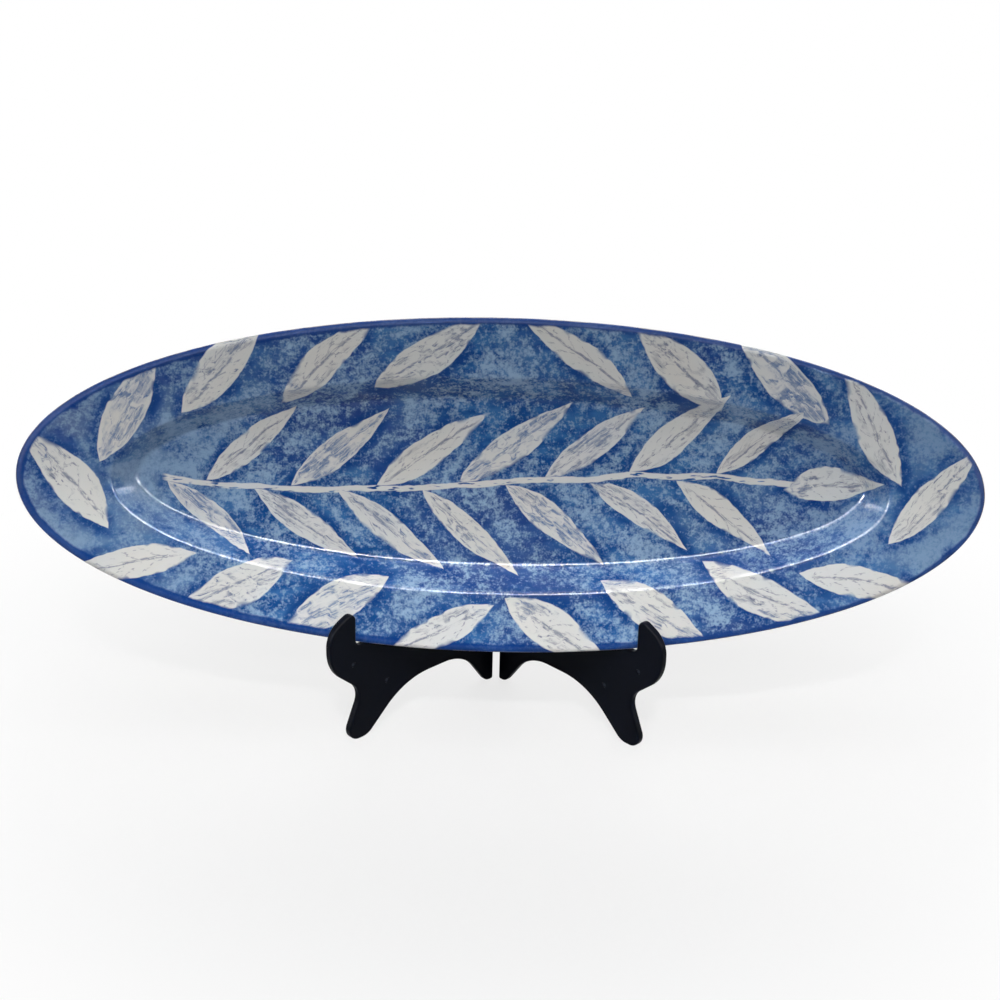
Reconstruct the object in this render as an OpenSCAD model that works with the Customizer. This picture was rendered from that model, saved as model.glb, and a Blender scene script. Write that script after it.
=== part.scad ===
// Long oval serving platter of glazed stoneware, leaning on a folding two-board plate stand.
// The stand's hinge axis is upright; both boards swing about it and close flat on each other.
// Origin: middle of the bounding box, on the ground. The platter faces -Y.

/* [Platter] */
// Full length of the oval over the lip
platter_len = 600; // [540:5:660]
// Full width of the oval over the lip
platter_wid = 208; // [190:2:236]
// Width of the rim at the two ends
rim_end = 58; // [46:1:70]
// Width of the rim along the two long sides
rim_side = 37; // [30:1:42]
// Height that the rim climbs from the well to the lip
rim_rise = 5; // [3:0.5:8]
// Depth of the well below its shoulder
well_depth = 18; // [13:1:24]
// Horizontal run of the wall between shoulder and floor
wall_run = 14.5; // [12:0.5:18]
// Thickness of the fired clay
clay_t = 6.5; // [5.5:0.25:7.5]
// Height of the foot ring under the floor
foot_height = 3; // [2:0.5:4.5]
// Width of the foot ring
foot_width = 7; // [5.5:0.5:9]
// Distance of the foot ring inside the edge of the floor
foot_inset = 6; // [5:0.5:9]

/* [Stance] */
// Lean of the platter from upright, degrees
lean = 18; // [14:1:22]
// Angle of each board from straight ahead, degrees
spread = 45; // [40:1:50]

/* [Stand boards] */
// Thickness of each moulded board
board_t = 5; // [4:0.25:6.5]
// Rounding of the long edges of the boards
edge_round = 1.2; // [0.6:0.1:1.6]
// Height of the boards at the hinge
stand_height = 170; // [156:2:176]
// Height of the ledge that carries the lip
ledge_height = 66.5; // [61:0.5:72]
// Distance of the hook's inner face from the hinge axis
hook_reach = 122.5; // [116:0.5:130]
// Height of the hook above the ledge
hook_height = 26; // [21:0.5:30]
// Width of the hook at its belly
hook_width = 21; // [18:0.5:26]
// Height where the belly of the hook turns back to the leg
belly_height = 56; // [51:0.5:60]
// Height of the narrowest place of the front leg
waist_height = 34; // [31:0.5:38]
// Length of the front foot along the ground, before rounding
foot_len = 19.5; // [19:0.5:24]
// Height of the arch between the two feet
arch_height = 28; // [24:0.5:32]
// Length of the rear foot, before rounding
heel_len = 8; // [7:0.5:10]
// Diameter of the ejector marks on the boards' inner faces
mark_d = 3.6; // [3:0.2:5]
// Depth of the ejector marks
mark_depth = 0.4; // [0.3:0.05:0.6]

/* [Hinge] */
// Diameter of the two hinge pins
pin_d = 3; // [2.4:0.1:4]
// Outer diameter of the knuckles
knuckle_d = 10; // [8.5:0.25:10.5]
// Length of each knuckle
knuckle_len = 12; // [9:0.5:16]
// Height of the lower hinge's first knuckle
low_hinge = 36; // [32:1:42]
// Height of the upper hinge's first knuckle
high_hinge = 118; // [104:1:120]
// Plastic left under each pin in its blind bore
pin_floor = 2; // [1.5:0.25:3]

/* [Fits] */
// Gap between the platter and the stand where it rests
seat_gap = 0.3; // [0.2:0.05:0.5]
// Radial clearance of a pin in its bore
pin_gap = 0.05; // [0.03:0.01:0.08]
// Gap between the boards when the stand is shut
shut_gap = 1; // [0.8:0.1:1.6]
// Gap between the end faces of two knuckles
knuckle_gap = 0.3; // [0.2:0.05:0.5]
// Distance of the boards' rear edges from the hinge axis
rear_edge = 2; // [1.7:0.1:2.6]

/* [Hidden] */

oval_steps = 84;
corner_step = 20;

function unit(v) = v / norm(v);
function turn(a) = a > 180 ? a - 360 : a < -180 ? a + 360 : a;

// Arc of radius r that rounds the corner q of the path p, q, s
function corner(p, q, s, r) =
    let (
        to_p = unit(p - q),
        to_s = unit(s - q),
        half = acos(to_p * to_s) / 2,
        middle = q + unit(to_p + to_s) * r / sin(half),
        first = q + to_p * r / tan(half) - middle,
        last = q + to_s * r / tan(half) - middle,
        start = atan2(first.y, first.x),
        sweep = turn(atan2(last.y, last.x) - start),
        steps = r <= 1 ? 1 : max(2, ceil(abs(sweep) / corner_step * max(1, sqrt(r / 8))))
    )
    [for (i = [0:steps]) middle + r * [cos(start + sweep * i / steps), sin(start + sweep * i / steps)]];

// Corners are [across, up, radius], radius 0 for a sharp one; the path is closed
function rounded(corners) =
    let (count = len(corners))
    [for (i = [0:count - 1])
        let (
            p = corners[(i + count - 1) % count],
            q = corners[i],
            s = corners[(i + 1) % count]
        )
        each q.z == 0 ? [[q.x, q.y]] : corner([p.x, p.y], [q.x, q.y], [s.x, s.y], q.z)];

// Platter levels, measured from the foot ring's ground
floor_z = foot_height + clay_t;
shoulder_z = floor_z + well_depth;
rim_z = shoulder_z + rim_rise;
lip_r = clay_t / 2;
lip_z = rim_z - lip_r;
under_shift = clay_t * tan(atan2(well_depth, wall_run) / 2);
floor_in = rim_side + wall_run;
foot_in = floor_in + foot_inset;
foot_draft = 1;
well_middle = foot_in + foot_width + 12;

// Section through a long side: [distance in from the lip, height, corner radius]
section = rounded([
    [well_middle, floor_z, 0],
    [floor_in, floor_z, 6],
    [rim_side, shoulder_z, 4],
    [0, rim_z, lip_r * 0.97],
    [0, rim_z - clay_t, lip_r * 0.97],
    [rim_side - under_shift, shoulder_z - clay_t, 7],
    [floor_in - under_shift, foot_height, 6],
    [foot_in - foot_draft, foot_height, 1],
    [foot_in, 0, 1],
    [foot_in + foot_width, 0, 1],
    [foot_in + foot_width + foot_draft, foot_height, 1],
    [well_middle, foot_height, 0],
]);

// The ends of the oval have the wider rim, so a ring moves in further there
function end_in(side_in) = side_in + (rim_end - rim_side) * min(1, side_in / rim_side);
function oval_ring(p) =
    [for (i = [0:oval_steps - 1])
        let (a = 360 * i / oval_steps)
        [(platter_len / 2 - end_in(p.x)) * cos(a), (platter_wid / 2 - p.x) * sin(a), p.y]];

// Board outline in its own plane: [distance from the hinge axis, height, corner radius]
inner_w = shut_gap / 2;
outer_w = inner_w + board_t;
belly_reach = hook_reach + hook_width;
hook_top = ledge_height + hook_height;
toe_reach = hook_reach + 9.8;
belly_room = hook_top - 10 - belly_height;

// Where the platter sits: the hooks stop its lip, the ledges carry it
hook_x = hook_reach * sin(spread) + outer_w * cos(spread);
hook_d = hook_reach * cos(spread) - outer_w * sin(spread) + edge_round * (cos(spread) + sin(spread) - 1);
function half_width(x) = platter_wid / 2 * sqrt(1 - pow(2 * x / platter_len, 2));
lip_d = hook_d - seat_gap - lip_r;
lip_x = lip_d * tan(spread) + inner_w / cos(spread);
platter_d = lip_d - (half_width(hook_x) - lip_r) * sin(lean);
platter_z = ledge_height + seat_gap + lip_r + (half_width(lip_x) - lip_r) * cos(lean);

// The backrest follows the plane of the foot ring, allowing for its own rounded edge
back_edge = edge_round * (norm([cos(lean) * cos(spread), sin(lean)]) + cos(lean) * sin(spread) - 1);
back_plane = platter_d * cos(lean) + platter_z * sin(lean) - lip_z - seat_gap + back_edge;
function back_reach(z) = ((back_plane - z * sin(lean)) / cos(lean) + inner_w * sin(spread)) / cos(spread);

board_outline = rounded([
    [rear_edge, 0, edge_round + 0.4],
    [heel_len, 0, 6],
    [29, arch_height, 34],
    [hook_reach - 41.3, arch_height, 54],
    [toe_reach - foot_len, 0, 12],
    [toe_reach, 0, 8],
    [hook_reach - 5, waist_height, 12.5],
    [belly_reach, belly_height, belly_room],
    [belly_reach, hook_top - 10, belly_room * 0.66],
    [hook_reach, hook_top, 4.5],
    [hook_reach, ledge_height, 4],
    [back_reach(ledge_height), ledge_height, 14],
    [back_reach(stand_height), stand_height, 6],
    [rear_edge, stand_height, 6],
]);

// Row origin: half way between the front of the hooks and the back of the knuckles
front_d = (belly_reach - edge_round) * cos(spread) - (inner_w + edge_round) * sin(spread) + edge_round;
hinge_y = (front_d - knuckle_d / 2) / 2;
right_levels = [low_hinge, high_hinge];
left_levels = right_levels + [1, 1] * (knuckle_len + knuckle_gap);
notch = knuckle_d / 2 + 0.6;
marks = [[hook_reach + 2.5, belly_height - 1], [hook_reach - 25.5, waist_height]];
pin_len = 2 * knuckle_len + knuckle_gap - pin_floor - 0.5;

// One fired piece: rings of the section swept round the oval
module platter() {
    count = len(section);
    rings = [for (p = section) each oval_ring(p)];
    skin = [for (k = [0:count - 2], i = [0:oval_steps - 1])
        let (
            a = k * oval_steps + i,
            b = k * oval_steps + (i + 1) % oval_steps
        )
        each [[a, b, a + oval_steps], [b, b + oval_steps, a + oval_steps]]];
    floor_cap = [for (i = [oval_steps - 1:-1:0]) i];
    base_cap = [for (i = [0:oval_steps - 1]) (count - 1) * oval_steps + i];
    color([0.16, 0.30, 0.58])
        translate([0, hinge_y - platter_d, platter_z])
            rotate([90 - lean, 0, 0])
                translate([0, 0, -lip_z])
                    polyhedron(points = rings, faces = concat(skin, [floor_cap, base_cap]));
}

// Flat moulding with soft edges; its inner face lies beside the closing plane
module slab() {
    minkowski() {
        translate([0, 0, inner_w + edge_round])
            linear_extrude(board_t - 2 * edge_round)
                offset(delta = -edge_round)
                    polygon(board_outline);
        sphere(edge_round / cos(22.5), $fn = 8);
    }
}

// Upright rod on the hinge axis of a board that lies in its own plane
module on_axis(level, d, h) {
    translate([0, level, 0])
        rotate([-90, 0, 0])
            cylinder(d = d, h = h, $fn = 64);
}

// Board with its own knuckles, notched for the partner's, and marked by the mould's ejector pins
module board(own, other) {
    difference() {
        slab();
        for (level = other)
            translate([-notch, level - knuckle_gap, 0])
                cube([2 * notch, knuckle_len + 2 * knuckle_gap, outer_w + 1]);
        for (mark = marks)
            translate([mark.x, mark.y, inner_w - 1])
                cylinder(d = mark_d, h = 1 + mark_depth, $fn = 32);
    }
    for (level = own)
        on_axis(level, knuckle_d, knuckle_len);
}

module placed() {
    translate([0, hinge_y, 0])
        rotate([90, 0, 270 - spread])
            children();
}

// Carries the pins in blind bores
module right_half() {
    color([0.04, 0.04, 0.05])
        mirror([1, 0, 0])
            placed()
                difference() {
                    board(right_levels, left_levels);
                    for (level = right_levels)
                        on_axis(level + pin_floor, pin_d + 2 * pin_gap, knuckle_len);
                }
}

// Drops over the pins and swings on them
module left_half() {
    color([0.04, 0.04, 0.05])
        placed()
            difference() {
                board(left_levels, right_levels);
                for (level = left_levels)
                    on_axis(level - 1, pin_d + 2 * pin_gap, knuckle_len + 2);
            }
}

// Two equal pins on the one axis
module hinge_pins() {
    color([0.6, 0.6, 0.62])
        for (level = right_levels)
            translate([0, hinge_y, level + pin_floor])
                cylinder(d = pin_d, h = pin_len, $fn = 48);
}

platter();
right_half();
left_half();
hinge_pins();
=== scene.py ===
# %% [markdown]
# # A long oval serving platter on its folding plate stand
# The object is a fired stoneware platter, 600 mm long, that leans on a small black plastic
# stand of two hinged boards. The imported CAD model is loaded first. It is the frame: it says where
# each piece is and which body it moves with, and every piece made below goes to that place.
# Loading it first, rather than drawing everything afresh, means that nothing has to be fitted by eye.

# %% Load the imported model
import math
import random

import bpy
from mathutils import Matrix, Vector


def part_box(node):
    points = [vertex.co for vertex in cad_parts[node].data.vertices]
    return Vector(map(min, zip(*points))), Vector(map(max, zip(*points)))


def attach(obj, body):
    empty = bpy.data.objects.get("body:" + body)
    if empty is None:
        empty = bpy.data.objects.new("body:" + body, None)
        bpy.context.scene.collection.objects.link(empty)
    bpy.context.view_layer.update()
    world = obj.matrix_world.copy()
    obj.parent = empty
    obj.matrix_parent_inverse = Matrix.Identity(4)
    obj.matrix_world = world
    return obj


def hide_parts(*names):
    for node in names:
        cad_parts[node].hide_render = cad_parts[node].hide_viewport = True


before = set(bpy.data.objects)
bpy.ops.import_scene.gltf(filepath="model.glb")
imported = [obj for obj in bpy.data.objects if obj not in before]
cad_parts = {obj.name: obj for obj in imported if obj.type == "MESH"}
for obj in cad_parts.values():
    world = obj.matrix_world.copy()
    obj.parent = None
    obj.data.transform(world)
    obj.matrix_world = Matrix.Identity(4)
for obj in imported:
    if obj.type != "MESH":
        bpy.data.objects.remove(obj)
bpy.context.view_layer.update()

# %% [markdown]
# ## Measures
# The maker's sizes are the same as in the part's source, in millimetres, apart from one corner radius
# of the boards further down. The places are read from the frame instead: the middle of the lip's plane
# comes from the platter's box, and the hinge line from the pins' box, so that a changed gap in the
# source moves the pieces here as well.

# %% The platter's sizes and place
MM = 0.001
platter_len, platter_wid = 600, 208
rim_end, rim_side, rim_rise = 58, 37, 5
well_depth, wall_run, clay_t = 18, 14.5, 6.5
foot_height, foot_width, foot_inset = 3, 7, 6
lean = math.radians(18)
lip_r = clay_t / 2

platter_low, platter_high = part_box("platter")
lip_y = platter_low[1] / MM + (platter_wid / 2 - lip_r) * math.sin(lean) + lip_r
lip_z = (platter_low[2] + platter_high[2]) / 2 / MM
print("middle of the lip's plane, mm:", round(lip_y, 2), round(lip_z, 2))

# %% The stand's sizes and the hinge line
board_t, edge_round, shut_gap = 5, 1.2, 1
stand_height, ledge_height = 170, 66.5
hook_reach, hook_height, hook_width = 122.5, 26, 21
belly_height, waist_height = 56, 34
foot_len, arch_height, heel_len, rear_edge = 19.5, 28, 8, 2
mark_d, mark_depth = 3.6, 0.4
knuckle_d, knuckle_len, knuckle_gap, pin_bore = 10, 12, 0.3, 3.1
low_hinge, high_hinge, pin_floor = 36, 118, 2
seat_gap, spread = 0.3, math.radians(45)

pins_low, pins_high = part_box("hinge_pins")
hinge_y = (pins_low[1] + pins_high[1]) / 2 / MM
print("hinge line, mm:", round(hinge_y, 2))

# %% [markdown]
# ## Camera
# The photograph looks down on the object by about 24 degrees, from about 1.4 m, through a lens a
# little longer than normal, and the picture is turned by a bit more than a degree, so that the right
# end of the platter hangs lower. A camera is aimed by three directions at right angles: to the right,
# up, and back. Writing these as the columns of a matrix is exact, where a Track To constraint would
# have to be turned afterwards for the tilt.

# %% Aim the camera
camera_drop, camera_roll = math.radians(24.26), math.radians(1.4)
camera_far, camera_lens, aim_height = 1.4, 78.05, 0.1304
aim = Vector((0, hinge_y * MM, aim_height))
ahead = Vector((0, math.cos(camera_drop), -math.sin(camera_drop)))
level = Vector((1, 0, 0))
rise = level.cross(ahead)
right = level * math.cos(camera_roll) + rise * math.sin(camera_roll)
up = rise * math.cos(camera_roll) - level * math.sin(camera_roll)

camera_data = bpy.data.cameras.new("camera")
camera_data.sensor_width = 36
camera_data.lens = camera_lens
camera = bpy.data.objects.new("camera", camera_data)
bpy.context.scene.collection.objects.link(camera)
facing = Matrix((right, up, -ahead)).transposed().to_4x4()
camera.matrix_world = Matrix.Translation(aim - ahead * camera_far) @ facing
bpy.context.scene.camera = camera
print("camera at", [round(c, 3) for c in camera.location])

# %% [markdown]
# ## Shader sums
# A finish is a web of nodes, and long sums of Math nodes are hard to read when each node is made by
# hand. This class wraps one socket. Plain arithmetic on it adds the Math nodes, and its method `node`
# adds any other kind, given the kind's name, its settings, and what goes into its sockets. The methods
# after it are short names for the kinds that come up often.

# %% A socket that can be added, multiplied and compared
class Wire:
    def __init__(self, tree, socket=None):
        self.tree, self.socket = tree, socket

    def node(self, kind, settings=None, links=None, out=0):
        made = self.tree.nodes.new("ShaderNode" + kind)
        for name, value in (settings or {}).items():
            setattr(made, name, value)
        for name, value in (links or {}).items():
            if isinstance(value, Wire):
                self.tree.links.new(value.socket, made.inputs[name])
            else:
                made.inputs[name].default_value = value
        return Wire(self.tree, made.outputs[out])

    def out(self, index):
        return Wire(self.tree, self.socket.node.outputs[index])

    def math(self, operation, *values):
        return self.node("Math", {"operation": operation}, dict(enumerate(values)))

    def __add__(self, other):
        return self.math("ADD", self, other)

    def __radd__(self, other):
        return self.math("ADD", other, self)

    def __sub__(self, other):
        return self.math("SUBTRACT", self, other)

    def __rsub__(self, other):
        return self.math("SUBTRACT", other, self)

    def __mul__(self, other):
        return self.math("MULTIPLY", self, other)

    def __rmul__(self, other):
        return self.math("MULTIPLY", other, self)

    def __truediv__(self, other):
        return self.math("DIVIDE", self, other)

    def __rtruediv__(self, other):
        return self.math("DIVIDE", other, self)

    def __abs__(self):
        return self.math("ABSOLUTE", self)

    def most(self, other):
        return self.math("MAXIMUM", self, other)

    def ramp(self, start, end):
        """0 at start, 1 at end, and a soft change between."""
        return self.node("MapRange", {"interpolation_type": "SMOOTHSTEP"},
                         {"Value": self, "From Min": start, "From Max": end})

    def noise(self, size, detail=2.0, rough=0.5, colour=False):
        """Cloudy noise whose lumps are about size across, in the units of the vector."""
        links = {"Vector": self, "Scale": 1 / size, "Detail": detail, "Roughness": rough}
        return self.node("TexNoise", {}, links, 1 if colour else 0)

    def blend(self, first, second):
        """A colour between two, by this wire."""
        return self.node("Mix", {"data_type": "RGBA"}, {0: self, 6: first, 7: second}, 2)

    def scaled(self, x, y, z):
        return self.node("VectorMath", {"operation": "MULTIPLY"}, {0: self, 1: (x, y, z)})

    def pushed(self, by, amount):
        """This vector, pushed about by a colour noise that is 0.5 at rest."""
        centred = self.node("VectorMath", {"operation": "SUBTRACT"}, {0: by, 1: (0.5, 0.5, 0.5)})
        return self.node("VectorMath", {"operation": "MULTIPLY_ADD"}, {0: centred, 1: (amount,) * 3, 2: self})


# %% Start a finish
def srgb(red, green, blue):
    """A colour as a paint program shows it, 0 to 255, as the linear colour that Blender works in."""
    def linear(c):
        c /= 255
        return c / 12.92 if c <= 0.04045 else ((c + 0.055) / 1.055) ** 2.4
    return (linear(red), linear(green), linear(blue), 1)


def new_finish(name, middle=(0, 0, 0), turn=(0, 0, 0)):
    """A material with one Principled shader, the shader's node, and a point's place on the piece in mm.

    The place is counted from middle, which is in metres, along axes that are turned by turn.
    """
    material = bpy.data.materials.new(name)
    material.use_nodes = True
    shader = material.node_tree.nodes["Principled BSDF"]
    place = Wire(material.node_tree).node("TexCoord", out=3)
    links = {"Vector": place, "Location": middle, "Rotation": turn, "Scale": (MM, MM, MM)}
    return material, shader, place.node("Mapping", {"vector_type": "TEXTURE"}, links)


def feed(shader, name, wire):
    wire.tree.links.new(wire.socket, shader.inputs[name])


def bumped(height, depth_mm, under=None):
    """A Bump node: height of 1 stands depth_mm proud. Another bump may lie under it."""
    links = {"Height": height, "Distance": depth_mm * MM, "Strength": 1.0}
    if under is not None:
        links["Normal"] = under
    return height.node("Bump", {}, links)


# %% [markdown]
# ## The painted leaves
# The platter's face carries white leaves, left bare of colour in a sponged cobalt ground. A wreath of
# leaves follows the rim from the bottom to the top on both sides, and one branch lies along the well.
# Here the places, turns and sizes of the leaves are worked out. An even spacing along an oval has no
# short formula, so the half oval is walked in small steps. Each leaf differs a little from the next, as
# brush work does, and the seed keeps the same leaves on each run. Every third leaf of the wreath stands
# further out, and its white later runs on over the lip.

# %% The wreath on the rim
def half_oval(half_len, half_wid, shares):
    """Points at shares of the way from an oval's bottom round its right end to its top, with directions."""
    steps = 2000
    angles = [math.pi * i / steps for i in range(steps + 1)]
    walk = [(half_len * math.sin(angle), -half_wid * math.cos(angle)) for angle in angles]
    gone = [0.0]
    for here, there in zip(walk, walk[1:]):
        gone.append(gone[-1] + math.dist(here, there))
    found = []
    for share in shares:
        i = next(k for k in range(1, steps) if gone[k] >= share * gone[-1])
        (x_before, y_before), (x_after, y_after) = walk[i - 1], walk[i + 1]
        found.append((*walk[i], math.atan2(y_after - y_before, x_after - x_before)))
    return found


brush = random.Random(11)
leaves = []
wreath_len, wreath_wid, wreath_count = 268, 84, 9
over_lip_every, over_lip_step = 3, 9
wreath_shares = [(k + 0.62) / (wreath_count + 0.30) for k in range(wreath_count)]
for side in (1, -1):
    for x, y, run in half_oval(wreath_len, wreath_wid, wreath_shares):
        turn = run + math.radians(brush.uniform(-38, -31))
        length, width = brush.uniform(78, 90), brush.uniform(19, 25)
        bend = side * brush.uniform(-0.25, 0.25)
        outwards = over_lip_step if len(leaves) % over_lip_every == 0 else 0
        x, y = x + outwards * math.sin(run), y - outwards * math.cos(run)
        x, y = side * x + brush.uniform(-2, 2), y + brush.uniform(-2, 2)
        leaves.append((x, y, turn if side > 0 else math.pi - turn, length, width, bend))
print(len(leaves), "leaves in the wreath")

# %% The branch along the well
bow_height, bow_len = 7, 70
branch_start, branch_step, branch_pairs, pair_shift = -196, 53, 7, 12
branch_middle, branch_room = -26, 235
for k in range(branch_pairs):
    for side in (1, -1):
        x = branch_start + branch_step * k + pair_shift * side
        y = bow_height * math.sin(x / bow_len)
        turn = side * math.radians(brush.uniform(33, 41))
        room = math.sqrt(1 - ((x - branch_middle) / branch_room) ** 2)
        length = brush.uniform(78, 87) * (0.45 + 0.55 * room)
        width = brush.uniform(17, 22) * (0.6 + 0.4 * room)
        middle_x = x + length / 2 * math.cos(turn)
        middle_y = y + length / 2 * math.sin(turn) + 1.5 * side
        leaves.append((middle_x, middle_y, turn, length, width, brush.uniform(-0.2, 0.2)))
tip_leaf = (208, 4, 0.1, 62, 21, 0.1)
leaves.append(tip_leaf)
print(len(leaves), "leaves in all")

# %% [markdown]
# ## The painted glaze
# The pattern lies flat on the platter, so the finish first turns the object's coordinates back by the
# platter's lean and centres them, which gives millimetres along, across and above the lip's plane.
# A painted picture could be an image, but this file reads none, and sums keep their sharpness at any
# size. Each leaf has a Mapping node that gives a point's place in the leaf: -1 to 1 from base to tip and
# from edge to edge. The leaf's outline is then one short sum, and the deepest leaf wins. A leaf's third
# coordinate is moved by its number, so that later noise differs from leaf to leaf.

# %% Find the leaves
leaf_gap = 41


def leaf_field(drawn):
    """How deep a point lies in the nearest leaf, in half widths, and its place in that leaf."""
    depth = own_place = None
    waiting = drawn
    for i, (x, y, turn, length, width, bend) in enumerate(leaves):
        links = {"Vector": waiting, "Location": (x, y, leaf_gap * i), "Rotation": (0, 0, turn),
                 "Scale": (length / 2, width / 2, 1)}
        own = drawn.node("Mapping", {"vector_type": "TEXTURE"}, links)
        along = own.node("SeparateXYZ", {}, {0: own})
        across = along.out(1)
        square = along * along
        bowed = across.math("MULTIPLY_ADD", square - 0.5, bend, across)
        taper = along.math("MULTIPLY_ADD", along, -0.28, 1.0).most(0.5)
        here = (1 - square) * taper - abs(bowed)
        if depth is None:
            depth, own_place = here, own
        else:
            nearer = here.math("GREATER_THAN", here, depth)
            own_place = nearer.node("Mix", {"data_type": "VECTOR"}, {0: nearer, 4: own_place, 5: own}, 1)
            depth = depth.most(here)
        # the next leaf waits for this one, because a shader can hold only so many values at once
        links = {0: depth, 1: (1e-6, 1e-6, 1e-6), 2: drawn}
        waiting = drawn.node("VectorMath", {"operation": "MULTIPLY_ADD"}, links)
    return depth, own_place


painted, glaze, flat = new_finish("painted_glaze", (0, lip_y * MM, lip_z * MM), (math.pi / 2 - lean, 0, 0))
along_x = flat.node("SeparateXYZ", {}, {0: flat})
across_y, above_lip = along_x.out(1), along_x.out(2)
drawn = flat.pushed(flat.noise(46, 1, colour=True), 7).pushed(flat.noise(7, 1, colour=True), 1.5)
depth, own = leaf_field(drawn)
own_along = own.node("SeparateXYZ", {}, {0: own})
own_across, own_number = own_along.out(1), own_along.out(2) * (-1 / leaf_gap)
print("leaf field has", len(painted.node_tree.nodes), "nodes")

# %% White leaves and their stem
mood = own.scaled(0.1, 0.1, 1).noise(9, 0)
turn_of_three = own_number / over_lip_every + 0.5
over_lip = abs(turn_of_three.math("FRACT", turn_of_three) - 0.5).ramp(0.14, 0.10)
feather = flat.noise(15).ramp(0.50, 0.68)
leaf = ((depth + 0.03) / (0.07 + 0.30 * feather)).ramp(0, 1)

# the stem is a line that bows along the well, with a few places that the brush missed
stem_middle, stem_half, stem_tip = -12, 200, 4
drawn_x = drawn.node("SeparateXYZ", {}, {0: drawn})
bow = drawn_x.math("SINE", drawn_x / bow_len) * bow_height
thick = 1.2 + flat.noise(22, 1) * 1.6
stem = (abs(drawn_x.out(1) - bow) - thick).ramp(0.2, -0.6)
stem = stem * abs(drawn_x - stem_middle).ramp(stem_half, stem_half - stem_tip)
stem = stem * flat.scaled(0.35, 1.6, 1).noise(3.2).ramp(0.32, 0.42)
bare = leaf.most(stem)
print("leaves and stem drawn")

# %% [markdown]
# The ground between the leaves is dabbed on with a sponge, so it is no even blue. It could be one noise
# between two blues, but a sponge works at several sizes at once: slow drifts of the whole hand, strokes,
# the sponge's own patches and its fine holes. So noises of falling size are added up, and the sum decides
# where pale clumps of grain show. Towards the ends the colour thins to a wash, and beside some leaves
# it pools dark, where the brush stopped.

# %% The sponged ground
deep_blue, mid_blue = srgb(24, 72, 136), srgb(56, 106, 164)
wash_blue, pale_blue = srgb(98, 130, 168), srgb(148, 176, 204)
faded_blue, violet_shade_blue, pool_blue = srgb(130, 152, 176), srgb(40, 50, 122), srgb(18, 62, 128)
stroke_links = {"Vector": flat, "Rotation": (0, 0, 0.5), "Scale": (0.022, 0.085, 0.03)}
drift = flat.noise(95)
patch = flat.noise(15, 3, 0.6)
dabs = flat.noise(40).ramp(0.40, 0.60)
stroke = flat.node("Mapping", {}, stroke_links).noise(1, 3, 0.6)
dapple = flat.noise(6)
grain = flat.noise(2.6, 1)
fine = flat.noise(1.15, 1)
ends = abs(along_x).ramp(120, 285)
left_end = along_x.ramp(-130, -290)
near_leaf = depth.ramp(-1.4, -0.3)
away = 1 - 0.6 * near_leaf

ground = (stroke * 0.6 + patch * 0.4).ramp(0.42, 0.58).blend(deep_blue, mid_blue)
thinned = (drift.ramp(0.44, 0.62) * 0.45 + ends * 0.60) * patch.ramp(0.24, 0.50) * away
ground = thinned.blend(ground, wash_blue)
faded = left_end * patch.ramp(0.30, 0.56) * away
ground = (faded * 0.55).blend(ground, faded_blue)

sponge = grain * 0.45 + fine * 0.31 + dapple * 0.34 + patch * 0.18 + dabs * 0.10 + stroke * 0.08
clump = (sponge - near_leaf * 0.07).ramp(0.58, 0.86)
ground = (clump * (0.90 - 0.50 * ends)).blend(ground, pale_blue)
# slow violet patches, laid by noise: a painted tint of shade and dark reflection in the blue
ground = (flat.noise(120, 1).ramp(0.50, 0.66) * 0.45 * (1 - clump)).blend(ground, violet_shade_blue)
pool = depth.ramp(-0.8, -0.15) * flat.noise(30).ramp(0.44, 0.58) * (1 - 0.6 * clump)
ground = (pool * 0.9).blend(ground, pool_blue)
print("sponged ground made;", len(painted.node_tree.nodes), "nodes so far")

# %% [markdown]
# A full brush of cobalt runs round the rolled lip. To follow the oval, the finish needs the distance from
# the lip. It has no exact formula either, but the oval's own sum, divided by how steeply it climbs, is
# near enough in a narrow band. Where the brush ran dry the band is thinner.

# %% The brush round the lip
lip_blue = srgb(16, 58, 128)


def root_of_squares(x_share, y_share):
    total = along_x * along_x * x_share + across_y * across_y * y_share
    return total.math("SQRT", total)


oval = root_of_squares(4 / platter_len ** 2, 4 / platter_wid ** 2)
slope = root_of_squares(16 / platter_len ** 4, 16 / platter_wid ** 4)
from_lip = (1 - oval) * oval / slope
thinner = along_x.ramp(-120, 240) * 2.4 + across_y.ramp(-70, 70)
lip_brush = (from_lip + thinner + (patch - 0.5) * 4).ramp(7.0, 5.2)
ground = (lip_brush * 0.92).blend(ground, lip_blue)
bare = bare * (1 - lip_brush * (1 - over_lip))
print("lip brushed")

# %% [markdown]
# Inside a leaf the white isn't clean: there is a broken midrib, a few dry veins, and smears of thin
# colour drawn along the leaf. All of them read the point's place in its own leaf, so they turn and bend
# with it. The marks are sums of distances and a streaky noise; painting each by hand would give no more.

# %% Inside a leaf
streak = own.scaled(0.9, 3.2, 1).noise(0.5, 4, 0.66)
worn = own.scaled(0.8, 0.55, 1).noise(0.55)
rib = abs(own_across + 0.05 + (worn - 0.5) * 0.25).ramp(0.14, 0.03)
rib = rib * abs(own_along).ramp(0.90, 0.6) * streak.ramp(0.40, 0.54)
slant = (own_along - abs(own_across) * 0.42) * 3.6 + worn
vein = abs(slant.math("FRACT", slant) - 0.5).ramp(0.11, 0.03)
vein = vein * depth.ramp(0.10, 0.32) * streak.ramp(0.46, 0.58)
smear = (streak + mood * 0.5).ramp(0.76, 0.88) * worn.ramp(0.42, 0.56) * depth.ramp(0.00, 0.22)
washed = (worn * 0.7 + mood * 0.6).ramp(0.62, 0.80) * depth.ramp(0.08, 0.34) * streak.ramp(0.32, 0.58)
ink = (rib * 0.75).most(vein * 0.55).most((smear * 0.85).most(washed * 0.8))
ink = ink * (0.45 + grain * 0.5 + fine * 0.4)

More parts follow.
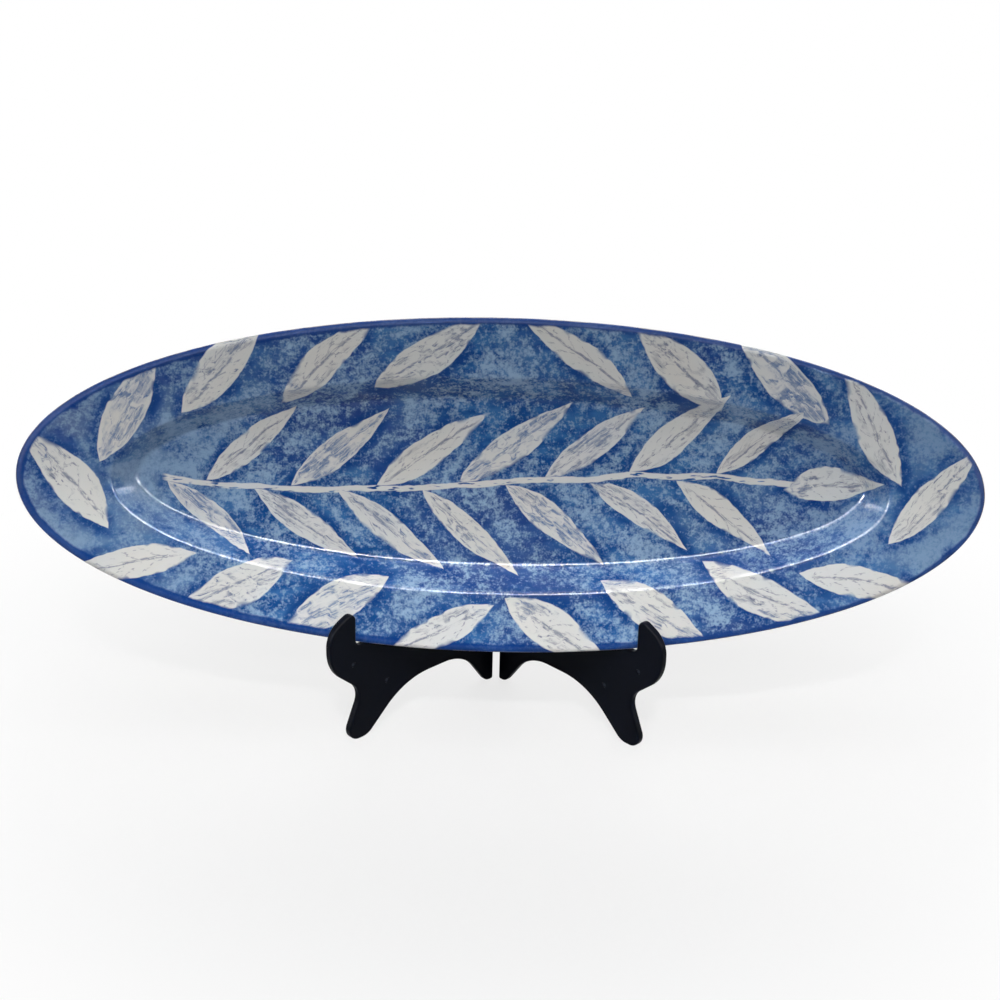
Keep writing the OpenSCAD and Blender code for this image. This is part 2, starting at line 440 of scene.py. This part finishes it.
cream = drift.ramp(0.3, 0.7).blend(srgb(212, 215, 215), srgb(214, 213, 208))
smudge = mood.ramp(0.45, 0.60).blend(srgb(78, 88, 124), srgb(52, 96, 154))
paint = bare.blend(ground, ink.blend(cream, smudge))
print("leaves veined")

# %% [markdown]
# A clear gloss covers the picture. It runs smooth and thick, with a faint wave and a fine skin, which are
# two bumps. On the outer half of the rolled lip, below its middle, the colour turns pale beige in patches.
# On the lip the gloss dries dull. One shader could only be made rougher there, and would still mirror the
# lamps as a pale haze, so a second, dry coat of the same colours takes over by a Mix Shader.

# %% The gloss and the dull lip
pale_edge_colour = srgb(186, 178, 164)
# the outer half of the rolled lip, below its middle, turns pale beige in patches
pale_lip_edge = above_lip.ramp(1.6, 0.4) * from_lip.ramp(4.5, 3.0)
pale_lip_edge = pale_lip_edge * (flat.noise(26) + (fine - 0.5) * 0.4).ramp(0.42, 0.56)
paint = (pale_lip_edge * 0.8).blend(paint, pale_edge_colour)

feed(glaze, "Base Color", paint)
feed(glaze, "Normal", bumped(flat.noise(2.6, 1), 0.010, under=bumped(flat.noise(38, 1), 0.30)))
feed(glaze, "Roughness", 0.08 + patch * 0.05 + ink * 0.06)
glaze.inputs["IOR"].default_value = 1.5
dry_links = {"Base Color": paint, "Roughness": 0.5, "Specular IOR Level": 0.1}
dry_coat = paint.node("BsdfPrincipled", {}, dry_links)
gloss_coat = Wire(painted.node_tree, glaze.outputs[0])
coats = paint.node("MixShader", {}, {0: from_lip.ramp(4.6, 3.0), 1: gloss_coat, 2: dry_coat})
feed(painted.node_tree.nodes["Material Output"], "Surface", coats)
print("painted glaze has", len(painted.node_tree.nodes), "nodes")

# %% [markdown]
# ## The plain back
# The underside is dipped in a clear glaze over the cream clay, and the foot ring is wiped bare so that
# the piece doesn't stick to the kiln shelf. Two small finishes do this: a cream gloss with iron specks,
# and a dry, sandy clay with pores.

# %% Back glaze and bare clay
back_glaze, shader, mm = new_finish("back_glaze")
mottle = mm.noise(30, 3)
speck = mm.noise(1.6, 1).ramp(0.70, 0.76) * mm.noise(9, 1).ramp(0.50, 0.60)
body = mottle.ramp(0.35, 0.65).blend(srgb(222, 213, 196), srgb(211, 200, 180))
feed(shader, "Base Color", (speck * 0.7).blend(body, srgb(128, 96, 66)))
feed(shader, "Roughness", 0.12 + mm.noise(14) * 0.08)
feed(shader, "Normal", bumped(mm.noise(3.2), 0.02, under=bumped(mm.noise(38, 1), 0.35)))

bare_clay, shader, mm = new_finish("bare_clay")
sand = mm.noise(0.8, 4, 0.7)
clay = mm.noise(12, 3).ramp(0.35, 0.65).blend(srgb(206, 184, 150), srgb(188, 160, 124))
feed(shader, "Base Color", (sand.ramp(0.58, 0.70) * 0.6).blend(clay, srgb(142, 112, 82)))
feed(shader, "Roughness", 0.78 + sand * 0.2)
feed(shader, "Normal", bumped(sand, 0.12))
print("back glaze and bare clay made")

# %% [markdown]
# ## The platter
# A potter presses such a platter as one wall of even thickness: floor, wall, broad rim, rolled lip, and
# back underneath to the foot ring. It could be a lathe profile spun round, but a spin gives a circle,
# and here the rim is broader at the ends than at the sides. So a circle of edges is drawn out ring by
# ring along the section, and at each ring it is scaled to that ring's own oval. It is modelled lying
# flat, with its lip's plane at zero, and leaned and put in place at the end.

# %% A section with round corners
def rounded(corners, step):
    """A closed outline from corners (x, y, radius), whose arcs turn by step degrees at a time."""
    points = []
    for i, (x, y, radius) in enumerate(corners):
        here = Vector((x, y))
        before = (Vector(corners[i - 1][:2]) - here).normalized()
        after = (Vector(corners[(i + 1) % len(corners)][:2]) - here).normalized()
        if radius == 0:
            points.append((x, y))
            continue
        half = before.angle(after) / 2
        middle = here + (before + after).normalized() * (radius / math.sin(half))
        swing = math.pi - 2 * half
        out = here + before * (radius / math.tan(half)) - middle
        sign = 1 if before.x * after.y - before.y * after.x < 0 else -1
        count = max(2, math.ceil(math.degrees(swing) / step))
        for k in range(count + 1):
            turned = Matrix.Rotation(sign * swing * k / count, 2) @ out
            points.append(tuple(middle + turned))
    return points


floor_z = foot_height + clay_t
shoulder_z = floor_z + well_depth
rim_z = shoulder_z + rim_rise
under_shift = clay_t * math.tan(math.atan2(well_depth, wall_run) / 2)
floor_in = rim_side + wall_run
foot_in, foot_draft = floor_in + foot_inset, 1
well_middle = foot_in + foot_width + 12
lip_round, section_step = lip_r * 0.97, 6
section = rounded([
    (well_middle, floor_z, 0), (floor_in, floor_z, 6), (rim_side, shoulder_z, 4),
    (0, rim_z, lip_round), (0, rim_z - clay_t, lip_round),
    (rim_side - under_shift, shoulder_z - clay_t, 7), (floor_in - under_shift, foot_height, 6),
    (foot_in - foot_draft, foot_height, 1), (foot_in, 0, 1), (foot_in + foot_width, 0, 1),
    (foot_in + foot_width + foot_draft, foot_height, 1), (well_middle, foot_height, 0)], section_step)
print(len(section), "rings in the platter's section")

# %% Draw the platter out ring by ring
def deselect_all():
    if bpy.context.mode != "OBJECT":
        bpy.ops.object.mode_set(mode="OBJECT")
    bpy.ops.object.select_all(action="DESELECT")


def ring_size(side_in):
    """Half length and half width of the ring that lies side_in from the lip at the platter's side."""
    end_in = side_in + (rim_end - rim_side) * min(1, side_in / rim_side)
    return platter_len / 2 - end_in, platter_wid / 2 - side_in


around = 240
lip_plane = rim_z - lip_r
deselect_all()
half_len, half_wid = ring_size(section[0][0])
height = section[0][1] - lip_plane
bpy.ops.mesh.primitive_circle_add(vertices=around, radius=1, location=(0, 0, height * MM))
platter = bpy.context.object
platter.name = platter.data.name = "painted_platter"
bpy.ops.object.transform_apply(location=True, rotation=True, scale=True)
bpy.ops.object.mode_set(mode="EDIT")
bpy.ops.mesh.select_all(action="SELECT")
bpy.ops.transform.resize(value=(half_len * MM, half_wid * MM, 1), center_override=(0, 0, 0))
for side_in, z in section[1:]:
    new_len, new_wid = ring_size(side_in)
    new_height = z - lip_plane
    bpy.ops.mesh.extrude_region_move(TRANSFORM_OT_translate={"value": (0, 0, (new_height - height) * MM)})
    bpy.ops.transform.resize(value=(new_len / half_len, new_wid / half_wid, 1), center_override=(0, 0, 0))
    half_len, half_wid, height = new_len, new_wid, new_height
bpy.ops.mesh.select_all(action="SELECT")
bpy.ops.mesh.fill_holes(sides=0)
bpy.ops.mesh.select_all(action="SELECT")
bpy.ops.mesh.normals_make_consistent(inside=False)
bpy.ops.object.mode_set(mode="OBJECT")
print("platter has", len(platter.data.polygons), "faces, size", [round(c, 4) for c in platter.dimensions])

# %% Give each face of the platter its finish, then lean it in place
PAINTED, PLAIN, BARE = 0, 1, 2
wiped_height, skirt_height, underside = 0.8, foot_height + 0.5, -0.42
for finish in (painted, back_glaze, bare_clay):
    platter.data.materials.append(finish)
counts = [0, 0, 0]
for face in platter.data.polygons:
    face.use_smooth = True
    above_foot = face.center.z / MM + lip_plane
    if above_foot < wiped_height:
        face.material_index = BARE
    elif above_foot < skirt_height or face.normal.z < underside:
        face.material_index = PLAIN
    else:
        face.material_index = PAINTED
    counts[face.material_index] += 1
platter.rotation_euler = (math.pi / 2 - lean, 0, 0)
platter.location = (0, lip_y * MM, lip_z * MM)
bpy.ops.object.transform_apply(location=True, rotation=True, scale=True)
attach(platter, "dish")
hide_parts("platter")
print("faces painted, plain and bare:", counts)

# %% [markdown]
# ## Black moulding and steel
# The stand is moulded in black plastic: nearly black with a cold cast, a satin skin with a very fine
# spark texture, and slightly shinier where hands have rubbed it. The rubbed patches are a slow noise
# in the roughness, and the spark texture is a fine bump. The floors of the ejector pins' marks are
# painted a little paler; the finish finds them by their distance. The two boards mirror each other, so a
# point's place without its sign serves both. The hinge pins keep their CAD shape and only get a steel
# finish with fine lines drawn along them.

# %% The stand's black plastic
moulding, shader, mm = new_finish("black_moulding")
rubbed = mm.noise(26, 3).ramp(0.40, 0.65)
spark = mm.noise(0.45, 2, 0.6)
dust = mm.noise(1.3).ramp(0.66, 0.74) * mm.noise(15).ramp(0.50, 0.64)
skin = rubbed.blend(srgb(4, 8, 19), srgb(6, 10, 22))
skin = (dust * 0.25).blend(skin, srgb(40, 42, 50))

ejector_marks = [(hook_reach + 2.5, belly_height - 1), (hook_reach - 25.5, waist_height)]
inner_face = shut_gap / 2
unsigned = mm.node("VectorMath", {"operation": "ABSOLUTE"}, {0: mm})
for reach, mark_z in ejector_marks:
    mark_x = reach * math.sin(spread) + inner_face * math.cos(spread)
    mark_y = abs(hinge_y - reach * math.cos(spread) + inner_face * math.sin(spread))
    links = {0: unsigned, 1: (mark_x, mark_y, mark_z)}
    from_mark = unsigned.node("VectorMath", {"operation": "DISTANCE"}, links, 1)
    # the floors of the ejector marks are painted a little paler
    skin = (from_mark.ramp(mark_d / 2 + 0.1, mark_d / 2 - 1.2) * 0.8).blend(skin, srgb(46, 50, 60))
feed(shader, "Base Color", skin)
feed(shader, "Roughness", 0.38 - rubbed * 0.08 + dust * 0.12)
feed(shader, "Normal", bumped(spark, 0.012, under=bumped(mm.noise(16, 1), 0.02)))
shader.inputs["Specular IOR Level"].default_value = 0.06
print("black plastic made, with", len(ejector_marks), "marks on each board")

# %% The pins' steel
steel, shader, mm = new_finish("pin_steel")
drawn_lines = mm.scaled(1, 1, 0.05).noise(0.12, 3)
feed(shader, "Base Color", mm.noise(4).blend(srgb(176, 178, 182), srgb(142, 143, 146)))
feed(shader, "Roughness", 0.26 + drawn_lines * 0.22)
feed(shader, "Normal", bumped(drawn_lines, 0.006))
shader.inputs["Metallic"].default_value = 1.0
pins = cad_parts["hinge_pins"]
pins.data.materials.clear()
pins.data.materials.append(steel)
print("steel put on", pins.name)

# %% [markdown]
# ## The stand's boards
# Each half of the stand is one moulded board, 5 mm thick: a foot and a heel with an arch between them, a
# bellied hook that holds the platter's lip, a ledge, and a sloping backrest. Its outline could be drawn
# as a curve with handles, but the mould maker thinks in straight runs and corner radii, and the helper
# that rounded the platter's section does that here too. Only the corner behind the hook is rounder than
# in the part's source, so that it hugs the lip.

# %% Outline of a board, from the hinge outwards
seat_d = hinge_y - lip_y
edge_tilt = math.hypot(math.cos(lean) * math.cos(spread), math.sin(lean))
back_edge = edge_round * (edge_tilt + math.cos(lean) * math.sin(spread) - 1)
back_plane = seat_d * math.cos(lean) + lip_z * math.sin(lean) - lip_plane - seat_gap + back_edge


def back_reach(z):
    """How far from the hinge the backrest's edge stands at a height, just clear of the foot ring."""
    ahead_of_hinge = (back_plane - z * math.sin(lean)) / math.cos(lean)
    return (ahead_of_hinge + inner_face * math.sin(spread)) / math.cos(spread)


belly_reach, hook_top, toe_reach = hook_reach + hook_width, ledge_height + hook_height, hook_reach + 9.8
arch_rear, arch_front = 29, hook_reach - 41.3
brow_height = hook_top - 10
belly_room = brow_height - belly_height
seat_round, outline_step = 5.4, 5
board_outline = rounded([
    (rear_edge, 0, edge_round + 0.4), (heel_len, 0, 6), (arch_rear, arch_height, 34),
    (arch_front, arch_height, 54), (toe_reach - foot_len, 0, 12), (toe_reach, 0, 8),
    (hook_reach - 5, waist_height, 12.5), (belly_reach, belly_height, belly_room),
    (belly_reach, brow_height, belly_room * 0.66), (hook_reach, hook_top, 4.5),
    (hook_reach, ledge_height, seat_round), (back_reach(ledge_height), ledge_height, 14),
    (back_reach(stand_height), stand_height, 6), (rear_edge, stand_height, 6)], outline_step)
print(len(board_outline), "points in a board's outline")

# %% [markdown]
# The blank of a board is made lying flat: one vertex is drawn out along the outline, the loop is filled,
# the face is drawn out to the board's thickness, and a Bevel modifier softens the edges. A curve with
# thickness could give the same, but its bevel would also swell the outline. The blank is made once, and
# each board is a copy of it.

# %% The blank of a board
deselect_all()
bpy.ops.mesh.primitive_plane_add(size=2 * MM)
blank = bpy.context.object
bpy.ops.object.mode_set(mode="EDIT")
bpy.ops.mesh.select_mode(type="VERT")
bpy.ops.mesh.select_all(action="SELECT")
bpy.ops.mesh.merge(type="CENTER")
x, y = board_outline[0]
bpy.ops.transform.translate(value=(x * MM, y * MM, inner_face * MM))
for new_x, new_y in board_outline[1:]:
    step = ((new_x - x) * MM, (new_y - y) * MM, 0)
    bpy.ops.mesh.extrude_region_move(TRANSFORM_OT_translate={"value": step})
    x, y = new_x, new_y
bpy.ops.mesh.select_all(action="SELECT")
bpy.ops.mesh.edge_face_add()
bpy.ops.mesh.select_all(action="SELECT")
bpy.ops.mesh.extrude_region_move(TRANSFORM_OT_translate={"value": (0, 0, board_t * MM)})
bpy.ops.mesh.select_all(action="SELECT")
bpy.ops.mesh.normals_make_consistent(inside=False)
bpy.ops.object.mode_set(mode="OBJECT")
edge = blank.modifiers.new("moulded edge", "BEVEL")
edge.width, edge.segments, edge.limit_method = edge_round * MM, 4, "ANGLE"
edge.angle_limit = math.radians(50)
bpy.ops.object.modifier_apply(modifier=edge.name)
print("blank has", len(blank.data.polygons), "faces")

# %% [markdown]
# Each board carries a knuckle at two heights, and is notched where the other board's knuckle turns. The
# right board's bores are blind and hold the pins; the left board's bores go through. On the inner
# faces, the ejector pins of the mould have left two shallow round marks. Rods and blocks that are joined
# or cut by a Boolean modifier do this exactly, where moving the blank's own vertices would not.

# %% Helpers for cutting and joining
def make_active(piece):
    deselect_all()
    bpy.context.view_layer.objects.active = piece
    piece.select_set(True)


def cut_or_join(piece, other, operation):
    """A Boolean of two pieces, applied; the second piece is used up."""
    make_active(piece)
    boolean = piece.modifiers.new("boolean", "BOOLEAN")
    boolean.operation, boolean.object, boolean.solver = operation, other, "EXACT"
    bpy.ops.object.modifier_apply(modifier=boolean.name)
    bpy.data.objects.remove(other, do_unlink=True)


def upright_rod(radius, bottom, length, soft=0.0):
    """A rod on the hinge line, which is the y axis while a board lies flat; its ends may be softened."""
    deselect_all()
    middle = (0, (bottom + length / 2) * MM, 0)
    bpy.ops.mesh.primitive_cylinder_add(vertices=64, radius=radius * MM, depth=length * MM,
                                        location=middle, rotation=(math.pi / 2, 0, 0))
    rod = bpy.context.object
    bpy.ops.object.transform_apply(location=True, rotation=True, scale=True)
    if soft:
        edge = rod.modifiers.new("soft ends", "BEVEL")
        edge.width, edge.segments, edge.limit_method = soft * MM, 3, "ANGLE"
        bpy.ops.object.modifier_apply(modifier=edge.name)
    return rod


def block(low, high):
    """A plain block between two corners, in mm, for cutting with."""
    deselect_all()
    bpy.ops.mesh.primitive_cube_add(size=1, location=[(a + b) / 2 * MM for a, b in zip(low, high)])
    cube = bpy.context.object
    cube.scale = [(b - a) * MM for a, b in zip(low, high)]
    bpy.ops.object.transform_apply(location=True, rotation=True, scale=True)
    return cube


# %% Knuckles, notches, bores and ejector marks
right_levels = [low_hinge, high_hinge]
left_levels = [level + knuckle_len + knuckle_gap for level in right_levels]
notch, knuckle_soft, past = knuckle_d / 2 + 0.6, 0.35, 1
outer_face = inner_face + board_t


def fit_hinge(board, own_levels, other_levels, bore_start):
    """Notch a flat board for the other's knuckles, give it its own, and bore these for the pins."""
    for level in other_levels:
        low = (0, level - knuckle_gap, inner_face - past)
        high = (notch, level + knuckle_len + knuckle_gap, outer_face + past)
        cut_or_join(board, block(low, high), "DIFFERENCE")
    for level in own_levels:
        cut_or_join(board, upright_rod(knuckle_d / 2, level, knuckle_len, knuckle_soft), "UNION")
        bore = upright_rod(pin_bore / 2, level + bore_start, knuckle_len - bore_start + past)
        cut_or_join(board, bore, "DIFFERENCE")


def press_marks(board):
    for reach, mark_z in ejector_marks:
        deselect_all()
        bpy.ops.mesh.primitive_cylinder_add(vertices=32, radius=mark_d / 2 * MM, depth=2 * mark_depth * MM,
                                            location=(reach * MM, mark_z * MM, inner_face * MM))
        cut_or_join(board, bpy.context.object, "DIFFERENCE")


# %% Stand a board up and finish it
def finish_board(board, mirrored):
    make_active(board)
    board.rotation_euler = (math.pi / 2, 0, 3 * math.pi / 2 - spread)
    board.location = (0, hinge_y * MM, 0)
    bpy.ops.object.transform_apply(location=True, rotation=True, scale=True)
    if mirrored:
        board.scale = (-1, 1, 1)
        bpy.ops.object.transform_apply(location=True, rotation=True, scale=True)
    bpy.ops.object.mode_set(mode="EDIT")
    bpy.ops.mesh.select_all(action="SELECT")
    bpy.ops.mesh.remove_doubles(threshold=0.01 * MM)
    bpy.ops.mesh.normals_make_consistent(inside=False)
    bpy.ops.object.mode_set(mode="OBJECT")
    bpy.ops.object.shade_smooth_by_angle(angle=math.radians(32))
    evened = board.modifiers.new("flat faces", "WEIGHTED_NORMAL")
    evened.keep_sharp = True
    bpy.ops.object.modifier_apply(modifier=evened.name)
    board.data.materials.clear()
    board.data.materials.append(moulding)


# %% Make the two boards
def make_board(side, own_levels, other_levels, bore_start):
    make_active(blank)
    bpy.ops.object.duplicate(linked=False)
    board = bpy.context.object
    board.name = board.data.name = side + "_board_moulded"
    fit_hinge(board, own_levels, other_levels, bore_start)
    press_marks(board)
    finish_board(board, mirrored=side == "right")
    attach(board, side + "_board")
    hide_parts(side + "_half")
    print(board.name, len(board.data.polygons), "faces, size", [round(c, 4) for c in board.dimensions])


make_board("right", right_levels, left_levels, pin_floor)
make_board("left", left_levels, right_levels, -past)
bpy.data.objects.remove(blank, do_unlink=True)

# %% [markdown]
# ## Floor and light
# The photograph has a plain white ground. Near the object the floor is a pale matt surface that takes
# its shadow; further off it fades to plain white for the camera, so no edge or horizon shows. The white
# is seen by the camera, and in gloss only where it lies behind the object, so matt faces get no light
# from it. A bright backdrop would be simpler, but it would light the whole object flatly.

# %% Floor
def white_seen(start, behind):
    """1 for a ray from the camera, and for a ray in gloss or glass as far as it goes behind the object."""
    camera_ray = start.node("LightPath")
    glossy_ray, through_ray = camera_ray.out(3), camera_ray.out(6)
    return camera_ray.most(glossy_ray.most(through_ray) * behind)


deselect_all()
bpy.ops.mesh.primitive_plane_add(size=12, location=(0, 0, 0))
floor = bpy.context.object
floor.name = "floor"
paper = bpy.data.materials.new("floor_paper")
paper.use_nodes = True
paper.node_tree.nodes.clear()
start = Wire(paper.node_tree)
where = start.node("TexCoord", out=3)
behind = where.node("SeparateXYZ", {}, {0: where}, 1).ramp(0.15, 0.6)
far = where.node("VectorMath", {"operation": "LENGTH"}, {0: where}, 1).ramp(0.14, 0.48)
matt = start.node("BsdfDiffuse", {}, {"Color": (0.5, 0.5, 0.5, 1)})
white = start.node("Emission", {}, {"Color": (1, 1, 1, 1), "Strength": 1.0})
mixed = start.node("MixShader", {}, {0: white_seen(start, behind) * (0.76 + 0.24 * far), 1: matt, 2: white})
feed(paper.node_tree.nodes.new("ShaderNodeOutputMaterial"), "Surface", mixed)
floor.data.materials.append(paper)
print("floor laid")

# %% World
world = bpy.data.worlds.new("studio")
bpy.context.scene.world = world
world.use_nodes = True
world.node_tree.nodes.clear()
start = Wire(world.node_tree)
towards = start.node("TexCoord", out=0)
behind = towards.node("SeparateXYZ", {}, {0: towards}, 1).ramp(-0.1, 0.5)
dim = start.node("Background", {}, {"Color": (0.97, 0.98, 1.0, 1), "Strength": 0.05})
white = start.node("Background", {}, {"Color": (1, 1, 1, 1), "Strength": 1.0})
mixed = start.node("MixShader", {}, {0: white_seen(start, behind), 1: dim, 2: white})
feed(world.node_tree.nodes.new("ShaderNodeOutputWorld"), "Surface", mixed)
bpy.context.scene.view_settings.view_transform = "Standard"
print("world set")

# %% [markdown]
# The light comes mostly from above, with a window in front and one behind. A narrow band from the front
# brightens the lower rim, the brightest part in the photograph; it is hidden from the gloss, where it
# would draw a broad stripe. The thin bright lines along the folds of the glaze are mirrored tubes, which
# show only in the gloss. One lamp for both would be simpler, but then the lines and the brightness of the
# rim could not be set apart. The side tubes slant, so that no flat face mirrors them whole.

# %% Lamps
subject = (0, 0, 0.15)


def lamp(name, place, aim_at, width, depth, watts, cone=math.pi):
    light = bpy.data.lights.new(name, "AREA")
    light.shape, light.size, light.size_y, light.energy = "RECTANGLE", width, depth, watts
    light.spread = cone
    made = bpy.data.objects.new(name, light)
    bpy.context.scene.collection.objects.link(made)
    made.location = place
    made.rotation_euler = (Vector(aim_at) - Vector(place)).to_track_quat("-Z", "Y").to_euler()
    made.visible_camera = False
    return made


def tube(name, first, last, watts):
    """A thin lamp from point to point, facing the platter, that shows only in the gloss."""
    thin, platter_middle = 0.06, Vector((0, 0, 0.13))
    first, last = Vector(first), Vector(last)
    middle = (first + last) / 2
    made = lamp(name, middle, platter_middle, (last - first).length, thin, watts)
    run = (last - first).normalized()
    back = middle - platter_middle
    back = (back - run * back.dot(run)).normalized()
    made.rotation_euler = Matrix((run, back.cross(run), back)).transposed().to_euler()
    made.visible_diffuse = False


lamp("ceiling", (0.0, 0.12, 1.6), subject, 1.5, 0.35, 9)
lamp("spot_overhead", (-0.2, -0.30, 1.4), subject, 0.12, 0.12, 2)
lamp("front_window", (-0.4, -2.0, 1.7), subject, 2.0, 0.6, 18)
low_band = lamp("low_band", (0.0, -1.4, 1.75), (0, -0.06, 0.02), 2.8, 0.25, 1.75, math.radians(10))
low_band.visible_glossy = False
tube("tube_above", (-1.1, -1.4, 1.75), (1.1, -1.4, 1.75), 78)
for side, name in ((1, "tube_right"), (-1, "tube_left")):
    tube(name, (side * 1.9, -0.51, 0.48), (side * 1.01, -1.21, 1.36), 50)
lamp("back_window", (0.5, 2.0, 1.1), (0, 0, 0.12), 2.0, 0.8, 34)
lamp("left_fill", (-1.7, -1.2, 0.7), subject, 0.8, 0.8, 0.15)
